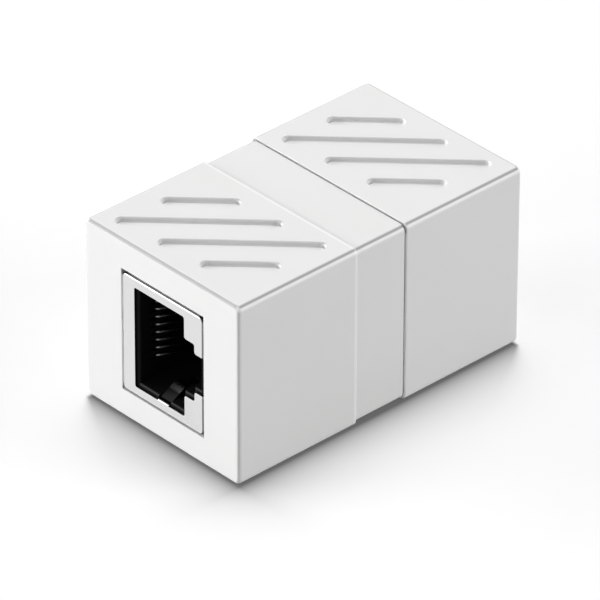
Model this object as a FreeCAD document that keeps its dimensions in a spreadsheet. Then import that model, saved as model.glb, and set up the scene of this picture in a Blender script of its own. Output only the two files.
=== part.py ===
import FreeCAD, Part
import math
import os
import re

import Sketcher
from FreeCAD import Placement, Rotation, Vector

# Inline coupler with a shielded eight-contact jack at each end, back to back on one upright board.
# Millimetres. X runs across, Y along the coupler, Z up, with the origin under the middle of its base.
# Each end's pieces are drawn once, from their own face inward, and the far end is the same half turned.

SIZES = {
    # The closed case
    "coupler_length": 42.6,
    "coupler_width": 25.1,
    "coupler_height": 23.2,
    "grip_length": 17.6,
    "band_recess": 0.22,
    "seam_gap": 0.12,
    "shell_wall": 1.8,
    "face_wall": 2.0,
    "long_edge_round": 0.75,
    "face_edge_round": 0.45,
    "step_round": 0.14,
    # Diagonal grooves in the top of each grip
    "groove_width": 1.6,
    "groove_depth": 0.6,
    "groove_slant": 45,
    "groove_spacing": 4.26,
    "groove_shift": 2.45,
    "groove_margin": 1.0,
    "long_groove": 18.4,
    "short_groove": 8.8,
    "groove_floor_round": 0.25,
    "groove_edge_round": 0.12,
    # Tongue that joins the shells, with its snap ridges
    "tongue_length": 2.4,
    "tongue_wall": 0.7,
    "tongue_clearance": 0.08,
    "snap_height": 0.16,
    "snap_width": 0.7,
    "snap_length": 10.0,
    "snap_setback": 1.4,
    "snap_clearance": 0.04,
    # Inside of the case: collar round each jack, its ribs and the corner posts that hold the board
    "opening_width": 13.34,
    "opening_height": 15.81,
    "opening_aside": 0.13,
    "opening_drop": 0.115,
    "opening_round": 0.1,
    "collar_wall": 1.2,
    "collar_length": 5.0,
    "rib_wall": 1.2,
    "post_side": 3.0,
    "post_clearance": 0.1,
    # Folded shield
    "shield_gap_left": 0.04,
    "shield_gap_right": 0.2,
    "shield_gap_above": 0.42,
    "shield_gap_below": 0.1,
    "face_setback": 0.08,
    "sheet": 0.25,
    "shield_setback": 1.62,
    "shield_corner_round": 0.5,
    "shield_fold_round": 0.2,
    "inner_fold_round": 0.06,
    "cutout_side": 0.46,
    "cutout_step": 0.36,
    "cutout_round": 0.3,
    "finger_width": 1.7,
    "finger_place": -0.03,
    "finger_crest": 2.8,
    "finger_rise": 1.35,
    "finger_fall": 1.3,
    "finger_reach": 5.2,
    "finger_bend": 0.2,
    "finger_root": 0.28,
    "finger_ledge": 0.55,
    "finger_ledge_rise": 0.08,
    "finger_ledge_bend": 0.6,
    "finger_crest_bend": 0.8,
    "shield_tab_width": 1.6,
    "shield_tab_place": 3.0,
    "tab_overshoot": 0.5,
    "window_start": 13.0,
    "window_length": 2.4,
    "window_width": 3.0,
    # Moulded jack body round the plug
    "housing_clearance": 0.05,
    "cavity_left": 4.11,
    "cavity_right": 3.21,
    "cavity_width": 12.12,
    "plug_depth": 13.0,
    "shoulder_right": 4.85,
    "shoulder_width": 6.78,
    "latch_right": 6.1,
    "latch_width": 4.3,
    "latch_depth": 10.5,
    "latch_wall": 0.5,
    "lead_in": 0.3,
    "catch_wall": 1.9,
    "catch_room_right": 5.7,
    "finger_room": 0.95,
    "finger_room_side": 0.15,
    "finger_room_end": 0.6,
    "core_left": 2.92,
    "core_wall": 1.2,
    "stop_wall": 1.5,
    "peg_width": 1.1,
    "peg_length": 1.0,
    "peg_across": 5.55,
    "peg_upright": 6.5,
    "barb_height": 0.18,
    "barb_width": 2.4,
    "barb_clearance": 0.15,
    # Comb that carries the contacts
    "comb_front": 2.0,
    "comb_setback": 3.12,
    "comb_left": 5.77,
    "comb_plate": 0.35,
    "comb_width": 8.7,
    "comb_clearance": 0.05,
    "channel_clearance": 0.03,
    # Contacts
    "contact_pitch": 1.016,
    "contact_wire": 0.36,
    "contact_bend": 0.6,
    "contact_emerge": 3.26,
    "contact_slope": 28,
    "contact_knee": 6.8,
    "contact_end_slope": 10,
    "contact_reach": 10.9,
    "knee_bend": 1.5,
    "jog_setback": 2.62,
    "jog_length": 1.4,
    "jog_bend": 0.35,
    "outer_tails": 4.22,
    "inner_tails": 2.42,
    "tail_overshoot": 0.6,
    # Board
    "board_sheet": 1.2,
    "board_clearance": 0.12,
    "board_corner_round": 0.8,
    "tail_hole": 0.8,
    "peg_hole_clearance": 0.1,
    "tab_hole_clearance": 0.12,
}
CONTACTS = 8
ENDS = ("front", "rear")
NEAR = 0.01

doc = FreeCAD.newDocument("coupler")
sizes = doc.addObject("Spreadsheet::Sheet", "sizes")
for row, (size_name, number) in enumerate(SIZES.items(), start=1):
    sizes.set(f"A{row}", size_name)
    sizes.set(f"B{row}", str(number))
    sizes.setAlias(f"B{row}", size_name)
doc.recompute()

# Formulas that several pieces share
INNER_HALF = "(coupler_width / 2 - shell_wall)"
INNER_TOP = "(coupler_height - shell_wall)"
BAND_LENGTH = "(coupler_length - 2 * grip_length - seam_gap)"
SHELL_BOARD = "(coupler_length / 2 - board_sheet / 2)"
JACK_BOARD = "(coupler_length / 2 - board_sheet / 2 - face_setback)"
SHIELD_HALF_X = "((opening_width - shield_gap_left - shield_gap_right) / 2)"
SHIELD_HALF_Z = "((opening_height - shield_gap_above - shield_gap_below) / 2)"
HOUSING_HALF_X = f"({SHIELD_HALF_X} - sheet - housing_clearance)"
HOUSING_HALF_Z = f"({SHIELD_HALF_Z} - sheet - housing_clearance)"
HOUSING_FRONT = "(sheet + housing_clearance)"
BUMP_END = "(latch_depth + latch_wall)"
SHIELD_END = f"({JACK_BOARD} - shield_setback)"
COMB_END = f"({JACK_BOARD} - comb_setback)"
JOG_START = f"({JACK_BOARD} - jog_setback)"
LEG = "(comb_left - comb_plate - contact_wire / 2)"
OPENING_HEIGHT = "(coupler_height / 2 - opening_drop)"
JACK_DROP = "(opening_drop + (shield_gap_above - shield_gap_below) / 2)"
JACK_ASIDE = "(opening_aside + (shield_gap_left - shield_gap_right) / 2)"


def formula(text):
    """The same formula with every size's name pointing at the sheet."""
    return re.sub(r"[a-z]\w*", lambda word: "sizes." + word[0] if word[0] in SIZES else word[0], text)


def value(text):
    return float(sizes.evalExpression(text))


def new_body(label, depth, height, end, aside="0"):
    """Body drawn from a face inward, at that end, depth behind the face and aside of the middle."""
    body = doc.addObject("PartDesign::Body", label)
    body.Label = label
    along = f"coupler_length / 2 - ({depth})"
    if end == "rear":
        body.Placement = Placement(Vector(), Rotation(Vector(0, 0, 1), 180))
        aside = f"-({aside})"
    else:
        along = f"-({along})"
    body.setExpression("Placement.Base.x", formula(aside))
    body.setExpression("Placement.Base.y", formula(along))
    body.setExpression("Placement.Base.z", formula(height))
    return body


def origin_feature(body, role):
    return next(feature for feature in body.Origin.OriginFeatures if feature.Role == role)


def new_sketch(body, role, offset="0"):
    """Empty sketch on one of the body's own planes, moved along that plane's normal."""
    sketch = body.newObject("Sketcher::SketchObject", f"{body.Name}_sketch")
    sketch.AttachmentSupport = (origin_feature(body, role), [""])
    sketch.MapMode = "FlatFace"
    sketch.setExpression("AttachmentOffset.Base.z", formula(offset))
    return sketch


def face_sketch(body, depth="0"):
    """Sketch across the coupler, at a depth inward from the piece's own face."""
    return new_sketch(body, "XZ_Plane", f"-({depth})")


def constrain(sketch, kind, *parts, size=None):
    """Adds one constraint, bound to a formula where it has a size."""
    if size is None:
        sketch.addConstraint(Sketcher.Constraint(kind, *parts))
        return
    index = sketch.addConstraint(Sketcher.Constraint(kind, *parts, value(size)))
    sketch.setExpression(f"Constraints[{index}]", formula(size))


def pin(sketch, piece, end, across, upward):
    """Holds one point of the sketch at its distances from the origin."""
    constrain(sketch, "DistanceX", -1, 1, piece, end, size=across)
    constrain(sketch, "DistanceY", -1, 1, piece, end, size=upward)


def outline(sketch, corners):
    """Closed outline of straight sides through the corners, each a pair of formulas."""
    points = [Vector(value(across), value(upward), 0) for across, upward in corners]
    first = sketch.GeometryCount
    count = len(corners)
    for index, point in enumerate(points):
        sketch.addGeometry(Part.LineSegment(point, points[(index + 1) % count]), False)
    for index, (across, upward) in enumerate(corners):
        constrain(sketch, "Coincident", first + (index - 1) % count, 2, first + index, 1)
        pin(sketch, first + index, 1, across, upward)


def rectangle(sketch, left, right, bottom, top):
    outline(sketch, [(left, bottom), (right, bottom), (right, top), (left, top)])


def circle(sketch, across, upward, diameter):
    centre = Vector(value(across), value(upward), 0)
    index = sketch.addGeometry(Part.Circle(centre, Vector(0, 0, 1), value(diameter) / 2), False)
    pin(sketch, index, 3, across, upward)
    constrain(sketch, "Diameter", index, size=diameter)


def arc_of(centre, radius, start, stop):
    return Part.ArcOfCircle(Part.Circle(centre, Vector(0, 0, 1), radius), start, stop)


def slot(sketch, across, upward, length, width, slant):
    """Round-ended slot about its middle point, turned by slant."""
    half = f"(({length}) - ({width})) / 2"
    run, rise = f"{half} * cos({slant})", f"{half} * sin({slant})"
    ends = [(f"({across}) {side} {run}", f"({upward}) {side} {rise}") for side in "+-"]
    turn = math.radians(value(slant))
    radius = value(width) / 2
    sideways = Vector(-math.sin(turn), math.cos(turn), 0) * radius
    arcs = []
    centres = [Vector(value(end[0]), value(end[1]), 0) for end in ends]
    for centre, start in zip(centres, (turn - math.pi / 2, turn + math.pi / 2)):
        arcs.append(sketch.addGeometry(arc_of(centre, radius, start, start + math.pi), False))
    upper = sketch.addGeometry(Part.LineSegment(centres[0] + sideways, centres[1] + sideways), False)
    lower = sketch.addGeometry(Part.LineSegment(centres[1] - sideways, centres[0] - sideways), False)
    for before, after in ((arcs[0], upper), (upper, arcs[1]), (arcs[1], lower), (lower, arcs[0])):
        constrain(sketch, "Tangent", before, 2, after, 1)
    for arc, end in zip(arcs, ends):
        pin(sketch, arc, 3, *end)
    constrain(sketch, "Radius", arcs[0], size=f"({width}) / 2")


def bent_path(sketch, stops, bends):
    """Open path of straight runs through the stops, with an arc of its own radius at each inner stop."""
    points = [Vector(value(across), value(upward), 0) for across, upward in stops]
    starts = [points[0]]
    arcs = []
    for index, bend in enumerate(bends, start=1):
        radius = value(bend)
        back = (points[index - 1] - points[index]).normalize()
        onward = (points[index + 1] - points[index]).normalize()
        half = back.getAngle(onward) / 2
        entry = points[index] + back * (radius / math.tan(half))
        leave = points[index] + onward * (radius / math.tan(half))
        centre = points[index] + (back + onward).normalize() * (radius / math.sin(half))
        left_turn = onward.cross(back).z > 0
        first, last = (entry, leave) if left_turn else (leave, entry)
        angles = [math.atan2(point.y - centre.y, point.x - centre.x) for point in (first, last)]
        arcs.append((arc_of(centre, radius, *angles), (1, 2) if left_turn else (2, 1)))
        starts += [entry, leave]
    starts.append(points[-1])
    runs = [Part.LineSegment(starts[at], starts[at + 1]) for at in range(0, len(starts), 2)]
    runs = [sketch.addGeometry(run, False) for run in runs]
    for index, (arc, (entry_end, leave_end)) in enumerate(arcs):
        bend = sketch.addGeometry(arc, False)
        constrain(sketch, "Tangent", runs[index], 2, bend, entry_end)
        constrain(sketch, "Tangent", bend, leave_end, runs[index + 1], 1)
        constrain(sketch, "Radius", bend, size=bends[index])
        corner = sketch.addGeometry(Part.Point(points[index + 1]), True)
        constrain(sketch, "PointOnObject", corner, 1, runs[index])
        constrain(sketch, "PointOnObject", corner, 1, runs[index + 1])
        pin(sketch, corner, 1, *stops[index + 1])
    pin(sketch, runs[0], 1, *stops[0])
    pin(sketch, runs[-1], 2, *stops[-1])


def volume_of(body):
    doc.recompute()
    return body.Shape.Volume if body.Tip else 0.0


def add(body, sketch, length):
    """Pad inward from a face sketch, or upward from a level one."""
    before = volume_of(body)
    feature = body.newObject("PartDesign::Pad", f"{body.Name}_pad")
    feature.Profile = sketch
    feature.setExpression("Length", formula(length))
    feature.Reversed = sketch.AttachmentSupport[0][0].Role == "XZ_Plane"
    if not volume_of(body) > before:
        raise ValueError(f"{feature.Name} adds nothing")
    return feature


def cut(body, sketch, length):
    """Pocket inward from a face sketch, or downward from a level one."""
    before = volume_of(body)
    feature = body.newObject("PartDesign::Pocket", f"{body.Name}_pocket")
    feature.Profile = sketch
    feature.setExpression("Length", formula(length))
    if not volume_of(body) < before:
        raise ValueError(f"{feature.Name} cuts nothing")
    return feature


def edges_of(body, chosen):
    """Names of the edges of the body's last feature whose bounding box is chosen."""
    doc.recompute()
    edges = enumerate(body.Tip.Shape.Edges, start=1)
    return [f"Edge{index}" for index, edge in edges if chosen(edge.BoundBox)]


def dress(body, kind, size_name, amount, chosen):
    """Fillet or chamfer on the chosen edges."""
    names = edges_of(body, chosen)
    base = body.Tip
    feature = body.newObject(f"PartDesign::{kind}", f"{body.Name}_{kind.lower()}")
    feature.Base = (base, names)
    feature.setExpression(size_name, formula(amount))
    doc.recompute()
    return feature


def fillet(body, radius, chosen):
    return dress(body, "Fillet", "Radius", radius, chosen)


def pattern(body, originals, axis, step, count):
    """The originals repeated along one of the body's axes."""
    feature = body.newObject("PartDesign::LinearPattern", f"{body.Name}_pattern")
    feature.Originals = originals
    feature.Direction = (origin_feature(body, axis), [""])
    feature.setExpression("Length", formula(f"({step}) * {count - 1}"))
    feature.Occurrences = count
    body.Tip = feature
    doc.recompute()


def mirror(body, originals, plane):
    feature = body.newObject("PartDesign::Mirrored", f"{body.Name}_mirror")
    feature.Originals = originals
    feature.MirrorPlane = (origin_feature(body, plane), [""])
    body.Tip = feature
    doc.recompute()


def pipe(body, profile, path):
    feature = body.newObject("PartDesign::AdditivePipe", f"{body.Name}_pipe")
    feature.Profile = profile
    feature.Spine = (path, [f"Edge{index}" for index in range(1, len(path.Shape.Edges) + 1)])
    doc.recompute()
    return feature


def near(first, second):
    return abs(first - second) < NEAR


def grip_grooves(body):
    """Four diagonal grooves in the top, two long between two short, with rounded floors and rims."""
    grooves = new_sketch(body, "XY_Plane", "coupler_height")
    for place in (-1.5, -0.5, 0.5, 1.5):
        shift = f"{math.copysign(1, place)} * groove_shift"
        spread = f"{place} * groove_spacing"
        across = f"{shift} * cos(groove_slant) + {spread} * sin(groove_slant)"
        along = f"grip_length / 2 + {shift} * sin(groove_slant) - {spread} * cos(groove_slant)"
        length = "long_groove" if abs(place) < 1 else "short_groove"
        slot(grooves, across, along, length, "groove_width", "groove_slant")
    cut(body, grooves, "groove_depth")
    floor = value("coupler_height - groove_depth")
    fillet(body, "groove_floor_round", lambda box: near(box.ZMin, floor) and near(box.ZMax, floor))
    top, half, rim = value("coupler_height"), value("coupler_width / 2"), value("groove_margin")
    last = value("grip_length") - rim

    def groove_edge(box):
        inside = box.XMax < half - rim and box.XMin > rim - half and box.YMin > rim and box.YMax < last
        return inside and near(box.ZMin, top) and near(box.ZMax, top)

    fillet(body, "groove_edge_round", groove_edge)


def case_walls(body, rim):
    """Hollows the shell, then adds the jack's collar, its ribs and the corner posts, and cuts the opening."""
    hollow = face_sketch(body, "face_wall")
    rectangle(hollow, f"-{INNER_HALF}", INNER_HALF, "shell_wall", INNER_TOP)
    cut(body, hollow, f"{rim} - face_wall")
    middle = "coupler_height / 2"
    ribs = face_sketch(body, "face_wall")
    rectangle(ribs, f"-{INNER_HALF}", INNER_HALF, f"{middle} - rib_wall / 2", f"{middle} + rib_wall / 2")
    add(body, ribs, "collar_length")
    ribs = face_sketch(body, "face_wall")
    rectangle(ribs, "-rib_wall / 2", "rib_wall / 2", "shell_wall", INNER_TOP)
    add(body, ribs, "collar_length")
    collar = face_sketch(body, "face_wall")
    left, right = "opening_aside - opening_width / 2", "opening_aside + opening_width / 2"
    low, high = f"{OPENING_HEIGHT} - opening_height / 2", f"{OPENING_HEIGHT} + opening_height / 2"
    outer_low, outer_high = f"{low} - collar_wall", f"{high} + collar_wall"
    rectangle(collar, f"{left} - collar_wall", f"{right} + collar_wall", outer_low, outer_high)
    add(body, collar, "collar_length")
    opening = face_sketch(body)
    rectangle(opening, left, right, low, high)
    cut(body, opening, "face_wall + collar_length")
    limits = value(left) - NEAR, value(right) + NEAR

    def opening_edge(box):
        return near(box.YMin, 0) and near(box.YMax, 0) and box.XMin > limits[0] and box.XMax < limits[1]

    fillet(body, "opening_round", opening_edge)


def corner_posts(body, start, stop, clearance):
    """Posts in the four corners, whose ends hold the board."""
    posts = face_sketch(body, start)
    outer = f"({INNER_HALF} - {clearance})"
    low = f"(shell_wall + {clearance})"
    high = f"({INNER_TOP} - {clearance})"
    for left, right in ((f"-{outer}", f"-{outer} + post_side"), (f"{outer} - post_side", outer)):
        rectangle(posts, left, right, low, f"{low} + post_side")
        rectangle(posts, left, right, f"{high} - post_side", high)
    add(body, posts, f"{stop} - ({start})")


def snap_profile(sketch, place, grow):
    """Blunt ridge on both sides of the tongue, larger by grow where it is the groove."""
    root = f"({INNER_HALF} + tongue_wall - {grow})"
    tip = f"({INNER_HALF} + tongue_wall + snap_height + {grow})"
    for sign in ("", "-"):
        outline(sketch, [
            (f"{sign}{root}", f"{place} - snap_width / 2 - {grow}"),
            (f"{sign}{tip}", f"{place} - snap_width / 4"),
            (f"{sign}{tip}", f"{place} + snap_width / 4"),
            (f"{sign}{root}", f"{place} + snap_width / 2 + {grow}"),
        ])


def outer_rounds(body):
    """Rounds on the long corner edges, then round the face."""
    half, top = value("coupler_width / 2"), value("coupler_height")
    recess = value("band_recess") + NEAR

    def long_edge(box):
        beside = min(abs(box.XMin - half), abs(box.XMax + half)) < recess
        end_on = min(abs(box.ZMin - top), abs(box.ZMax)) < recess
        return beside and end_on and box.XLength < NEAR and box.ZLength < NEAR

    fillet(body, "long_edge_round", long_edge)
    fillet(body, "face_edge_round", lambda box: near(box.YMin, 0) and near(box.YMax, 0))


def shell(end):
    """Moulded half of the case: the front one carries the recessed band, the rear one the tongue."""
    body = new_body(f"{end}_shell", "0", "0", end)
    grip = face_sketch(body)
    rectangle(grip, "-coupler_width / 2", "coupler_width / 2", "0", "coupler_height")
    add(body, grip, "grip_length")
    if end == "front":
        band = face_sketch(body, "grip_length")
        reach = "(coupler_width / 2 - band_recess)"
        rectangle(band, f"-{reach}", reach, "band_recess", "coupler_height - band_recess")
        add(body, band, BAND_LENGTH)
    outer_rounds(body)
    step, half = value("grip_length"), value("coupler_width / 2")
    top = value("coupler_height")

    def step_edge(box):
        outer = near(box.XMax, half) or near(box.XMin, -half) or near(box.ZMax, top) or near(box.ZMin, 0)
        return near(box.YMin, step) and near(box.YMax, step) and outer

    fillet(body, "step_round", step_edge)
    middle = "coupler_height / 2"
    if end == "front":
        rim = f"(grip_length + {BAND_LENGTH})"
        case_walls(body, rim)
        corner_posts(body, "face_wall", SHELL_BOARD, "0")
        grip_grooves(body)
        rebate_start = "(coupler_length - grip_length - tongue_length - tongue_clearance)"
        rebate = face_sketch(body, rebate_start)
        reach = f"({INNER_HALF} + tongue_wall + tongue_clearance)"
        low = "(shell_wall - tongue_wall - tongue_clearance)"
        rectangle(rebate, f"-{reach}", reach, low, f"coupler_height - {low}")
        cut(body, rebate, f"{rim} - {rebate_start}")
        groove = new_sketch(body, "XY_Plane", f"{middle} + snap_length / 2 + snap_clearance")
        snap_profile(groove, "(coupler_length - grip_length - snap_setback)", "snap_clearance")
        cut(body, groove, "snap_length + 2 * snap_clearance")
        return body
    case_walls(body, "grip_length")
    corner_posts(body, "face_wall", "grip_length", "0")
    corner_posts(body, "grip_length", SHELL_BOARD, "post_clearance")
    grip_grooves(body)
    tongue = face_sketch(body, "grip_length")
    rectangle(tongue, f"-{INNER_HALF}", INNER_HALF, "shell_wall", INNER_TOP)
    reach = f"({INNER_HALF} + tongue_wall)"
    rectangle(tongue, f"-{reach}", reach, "shell_wall - tongue_wall", f"{INNER_TOP} + tongue_wall")
    add(body, tongue, "tongue_length")
    ridge = new_sketch(body, "XY_Plane", f"{middle} - snap_length / 2")
    snap_profile(ridge, "(grip_length + snap_setback)", "0")
    add(body, ridge, "snap_length")
    return body


def jack_body(label, end, above="0"):
    """Body drawn from the shield's face inward, about the jack's own axis or above it."""
    height = f"coupler_height / 2 - {JACK_DROP} + {above}"
    return new_body(label, "face_setback", height, end, JACK_ASIDE)


def mouth(sketch, side_margin, step_margin):
    """Stepped outline of the plug cavity, larger by a margin at its sides and one at its steps."""
    left = f"-(cavity_left + {side_margin})"
    right, shoulder = f"cavity_right + {step_margin}", f"shoulder_right + {step_margin}"
    side, inner = f"(cavity_width / 2 + {side_margin})", f"(shoulder_width / 2 + {step_margin})"
    outline(sketch, [
        (left, f"-{side}"),
        (right, f"-{side}"),
        (right, f"-{inner}"),
        (shoulder, f"-{inner}"),
        (shoulder, inner),
        (right, inner),
        (right, side),
        (left, side),
    ])


def shield(end):
    """Folded sheet round the jack: walls with windows, a face with its stepped cutout, two fingers."""
    body = jack_body(f"{end}_shield", end)
    walls = face_sketch(body)
    rectangle(walls, f"-{SHIELD_HALF_X}", SHIELD_HALF_X, f"-{SHIELD_HALF_Z}", SHIELD_HALF_Z)
    add(body, walls, SHIELD_END)
    inner_x, inner_z = f"({SHIELD_HALF_X} - sheet)", f"({SHIELD_HALF_Z} - sheet)"
    hollow = face_sketch(body, "sheet")
    rectangle(hollow, f"-{inner_x}", inner_x, f"-{inner_z}", inner_z)
    cut(body, hollow, f"{SHIELD_END} - sheet")
    sheet, outside = value("sheet"), value(SHIELD_HALF_X)

    def along(box):
        return box.XLength < NEAR and box.ZLength < NEAR

    fillet(body, "shield_corner_round - sheet", lambda box: along(box) and box.YMin > sheet - NEAR)
    fillet(body, "shield_corner_round", lambda box: along(box) and near(abs(box.XMin), outside))
    fillet(body, "shield_fold_round", lambda box: near(box.YMax, 0))
    fillet(body, "inner_fold_round", lambda box: near(box.YMin, sheet) and near(box.YMax, sheet))
    cutout = face_sketch(body)
    mouth(cutout, "cutout_side", "cutout_step")
    cut(body, cutout, "sheet")
    notch = face_sketch(body)
    side = "(latch_width / 2 + cutout_step)"
    rectangle(notch, "shoulder_right", f"{SHIELD_HALF_X} + sheet", f"-{side}", side)
    cut(body, notch, f"{BUMP_END} + housing_clearance")
    limit = value("shoulder_right + cutout_step") + NEAR

    def cutout_corner(box):
        return along(box) and box.YMax < sheet + NEAR and box.YLength > sheet / 2 and abs(box.XMin) < limit

    fillet(body, "cutout_round", cutout_corner)
    edge = "(cavity_width / 2 + cutout_side)"
    path = new_sketch(body, "YZ_Plane", "finger_place")
    bent_path(path, [
        ("sheet / 2", f"-{edge} - finger_root"),
        ("sheet / 2", f"-{edge}"),
        ("finger_ledge", f"-{edge} + finger_ledge_rise"),
        ("finger_crest", f"-{edge} + finger_rise"),
        ("finger_reach", f"-{edge} + finger_rise - finger_fall"),
    ], ["finger_bend", "finger_ledge_bend", "finger_crest_bend"])
    profile = new_sketch(body, "XY_Plane", f"-{edge} - finger_root")
    left, right = "finger_place - finger_width / 2", "finger_place + finger_width / 2"
    rectangle(profile, left, right, "0", "sheet")
    finger = pipe(body, profile, path)
    mirror(body, [finger], "XY_Plane")
    windows = face_sketch(body, "window_start")
    rectangle(windows, inner_x, SHIELD_HALF_X, "-window_width / 2", "window_width / 2")
    rectangle(windows, f"-{SHIELD_HALF_X}", f"-{inner_x}", "-window_width / 2", "window_width / 2")
    cut(body, windows, "window_length")
    tabs = face_sketch(body, SHIELD_END)
    left, right = "shield_tab_place - shield_tab_width / 2", "shield_tab_place + shield_tab_width / 2"
    rectangle(tabs, left, right, inner_z, SHIELD_HALF_Z)
    rectangle(tabs, left, right, f"-{SHIELD_HALF_Z}", f"-{inner_z}")
    add(body, tabs, f"{JACK_BOARD} + board_sheet + tab_overshoot - {SHIELD_END}")
    return body


def housing(end):
    """Black moulded body: plug cavity, latch steps with the catch behind, comb slot, cored back and barbs."""
    body = jack_body(f"{end}_jack_housing", end)
    block = face_sketch(body, HOUSING_FRONT)
    rectangle(block, f"-{HOUSING_HALF_X}", HOUSING_HALF_X, f"-{HOUSING_HALF_Z}", HOUSING_HALF_Z)
    add(body, block, f"{JACK_BOARD} - {HOUSING_FRONT}")
    fillet(body, "shield_corner_round - sheet", lambda box: box.XLength < NEAR and box.ZLength < NEAR)
    bump = face_sketch(body, HOUSING_FRONT)
    side = "(latch_width / 2 + cutout_step - housing_clearance)"
    rectangle(bump, "shoulder_right", "latch_right + latch_wall", f"-{side}", side)
    add(body, bump, f"{BUMP_END} - {HOUSING_FRONT}")
    steps = face_sketch(body, HOUSING_FRONT)
    mouth(steps, "0", "0")
    cut(body, steps, f"latch_depth - {HOUSING_FRONT}")
    latch = face_sketch(body, HOUSING_FRONT)
    rectangle(latch, "shoulder_right", "latch_right", "-latch_width / 2", "latch_width / 2")
    cut(body, latch, f"latch_depth - {HOUSING_FRONT}")
    front = value(HOUSING_FRONT)
    left, right = value("cavity_left"), value("latch_right")
    side = value("cavity_width / 2") + NEAR

    def mouth_edge(box):
        level = near(box.YMin, front) and near(box.YMax, front)
        within = box.XMin > -left - NEAR and box.XMax < right + NEAR and box.ZMax < side and box.ZMin > -side
        return level and within and not near(box.XMin, right)

    fillet(body, "lead_in", mouth_edge)
    nose = face_sketch(body, "latch_depth")
    rectangle(nose, "-cavity_left", "cavity_right", "-cavity_width / 2", "cavity_width / 2")
    cut(body, nose, "plug_depth - latch_depth")
    catch = face_sketch(body, f"{HOUSING_FRONT} + catch_wall")
    rectangle(catch, "shoulder_right", "catch_room_right", "-shoulder_width / 2", "shoulder_width / 2")
    cut(body, catch, f"latch_depth - {HOUSING_FRONT} - catch_wall")
    rooms = face_sketch(body, HOUSING_FRONT)
    left = "finger_place - finger_width / 2 - finger_room_side"
    right = "finger_place + finger_width / 2 + finger_room_side"
    rectangle(rooms, left, right, "-cavity_width / 2 - finger_room", "-cavity_width / 2")
    rectangle(rooms, left, right, "cavity_width / 2", "cavity_width / 2 + finger_room")
    cut(body, rooms, f"finger_reach + finger_room_end - {HOUSING_FRONT}")
    comb_slot = face_sketch(body, "comb_front")
    reach = "(comb_width / 2 + comb_clearance)"
    rectangle(comb_slot, "-(comb_left + comb_clearance)", "-cavity_left", f"-{reach}", reach)
    cut(body, comb_slot, f"{JACK_BOARD} - comb_front")
    core = face_sketch(body, "plug_depth + stop_wall")
    core_top = f"({HOUSING_HALF_Z} - core_wall)"
    rectangle(core, "-core_left", f"{HOUSING_HALF_X} - core_wall", f"-{core_top}", core_top)
    cut(body, core, f"{JACK_BOARD} - plug_depth - stop_wall")
    tails = face_sketch(body, COMB_END)
    rectangle(tails, "-cavity_left", "-core_left", f"-{reach}", reach)
    cut(body, tails, f"{JACK_BOARD} - {COMB_END}")
    pegs = face_sketch(body, JACK_BOARD)
    circle(pegs, "peg_across", "peg_upright", "peg_width")
    circle(pegs, "peg_across", "-peg_upright", "peg_width")
    add(body, pegs, "peg_length")
    barbs = new_sketch(body, "XY_Plane", "-barb_width / 2")
    catch_edge = "(window_start + window_length - barb_clearance)"
    for sign in ("", "-"):
        outline(barbs, [
            (f"{sign}{HOUSING_HALF_X}", "window_start + barb_clearance"),
            (f"{sign}({HOUSING_HALF_X} + barb_height)", catch_edge),
            (f"{sign}{HOUSING_HALF_X}", catch_edge),
        ])
    add(body, barbs, "barb_width")
    return body


def contact_comb(end):
    """Moulded comb: a plate with a rib each side of every contact, closed over the legs at its back."""
    body = jack_body(f"{end}_contact_insert", end)
    plate = face_sketch(body, "comb_front")
    rectangle(plate, "-comb_left", "-cavity_left", "-comb_width / 2", "comb_width / 2")
    add(body, plate, f"{COMB_END} - comb_front")
    first = f"(contact_pitch * {(CONTACTS - 1) / 2})"
    side = "(contact_wire / 2 + channel_clearance)"
    face = "(comb_left - comb_plate)"
    channel = face_sketch(body, "comb_front")
    rectangle(channel, f"-{face}", "-cavity_left", f"-{first} - {side}", f"-{first} + {side}")
    open_channel = cut(body, channel, "plug_depth - comb_front")
    pattern(body, [open_channel], "Z_Axis", "contact_pitch", CONTACTS)
    tunnel = face_sketch(body, "plug_depth")
    back = f"-({face} - contact_wire - channel_clearance)"
    rectangle(tunnel, f"-{face}", back, f"-{first} - {side}", f"-{first} + {side}")
    leg_tunnel = cut(body, tunnel, f"{COMB_END} - plug_depth")
    pattern(body, [leg_tunnel], "Z_Axis", "contact_pitch", CONTACTS)
    return body


def contact(end, index):
    """Spring wire contact: tail through the board, leg in the comb, nose bend, and a sprung free end."""
    body = jack_body(f"{end}_contact_{index}", end, f"contact_pitch * {(CONTACTS + 1) / 2 - index}")
    tail = "outer_tails" if index % 2 else "inner_tails"
    tip = f"{JACK_BOARD} + board_sheet + tail_overshoot"
    knee = "(-cavity_left + (contact_knee - contact_emerge) * tan(contact_slope))"
    path = new_sketch(body, "XY_Plane")
    bent_path(path, [
        (f"-{tail}", tip),
        (f"-{tail}", f"{JOG_START} + jog_length"),
        (f"-{LEG}", JOG_START),
        (f"-{LEG}", f"contact_emerge - ({LEG} - cavity_left) / tan(contact_slope)"),
        (knee, "contact_knee"),
        (f"{knee} + (contact_reach - contact_knee) * tan(contact_end_slope)", "contact_reach"),
    ], ["jog_bend", "jog_bend", "contact_bend", "knee_bend"])
    profile = face_sketch(body, tip)
    circle(profile, f"-{tail}", "0", "contact_wire")
    pipe(body, profile, path)
    return body


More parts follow.
